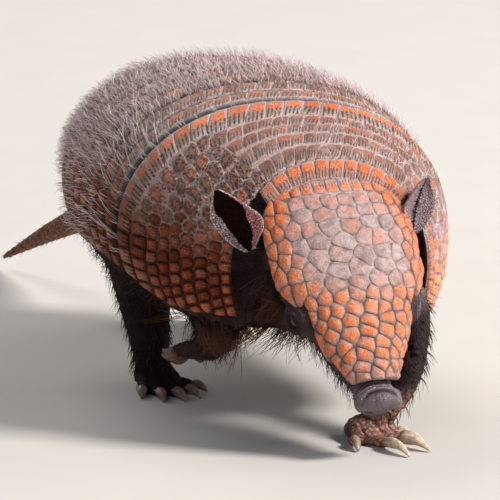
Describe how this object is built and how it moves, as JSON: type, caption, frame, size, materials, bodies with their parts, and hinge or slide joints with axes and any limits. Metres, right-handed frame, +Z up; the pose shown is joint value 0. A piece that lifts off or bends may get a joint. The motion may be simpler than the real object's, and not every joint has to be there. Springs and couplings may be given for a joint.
{
  "type": "armadillo",
  "caption": "Life-size six-banded armadillo walking with its head held low: bony shell in shields and movable bands, head shield, bristly legs with long claws, and tail.",
  "frame": {"origin": "on the floor under the middle of the animal's bounding box", "axes": "+Z up, -Y the way the animal faces, +X towards its own left side"},
  "size_m": [0.1912, 0.4938, 0.1726],
  "materials": {
    "scute": "satin",
    "skin": "matte",
    "ear": "matte",
    "claw": "satin",
    "eye": "gloss",
    "hair": "matte"
  },
  "bodies": {
    "root": {"nuchal_band": "scute", "scapular_shield": "scute", "band_1": "scute", "band_2": "scute", "band_3": "scute", "band_4": "scute", "band_5": "scute", "band_6": "scute", "band_7": "scute", "pelvic_shield": "scute", "trunk": "skin", "head": "skin", "head_shield": "scute", "eye_left": "eye", "ear_left": "ear", "eye_right": "eye", "ear_right": "ear", "neck": "skin", "leg_front_left": "skin", "claw_front_left_1": "claw", "claw_front_left_2": "claw", "claw_front_left_3": "claw", "claw_front_left_4": "claw", "claw_front_left_5": "claw", "leg_front_right": "skin", "claw_front_right_1": "claw", "claw_front_right_2": "claw", "claw_front_right_3": "claw", "claw_front_right_4": "claw", "claw_front_right_5": "claw", "leg_hind_right": "skin", "claw_hind_right_1": "claw", "claw_hind_right_2": "claw", "claw_hind_right_3": "claw", "claw_hind_right_4": "claw", "claw_hind_right_5": "claw", "leg_hind_left": "skin", "claw_hind_left_1": "claw", "claw_hind_left_2": "claw", "claw_hind_left_3": "claw", "claw_hind_left_4": "claw", "claw_hind_left_5": "claw", "tail": "skin"}
  },
  "joints": []
}
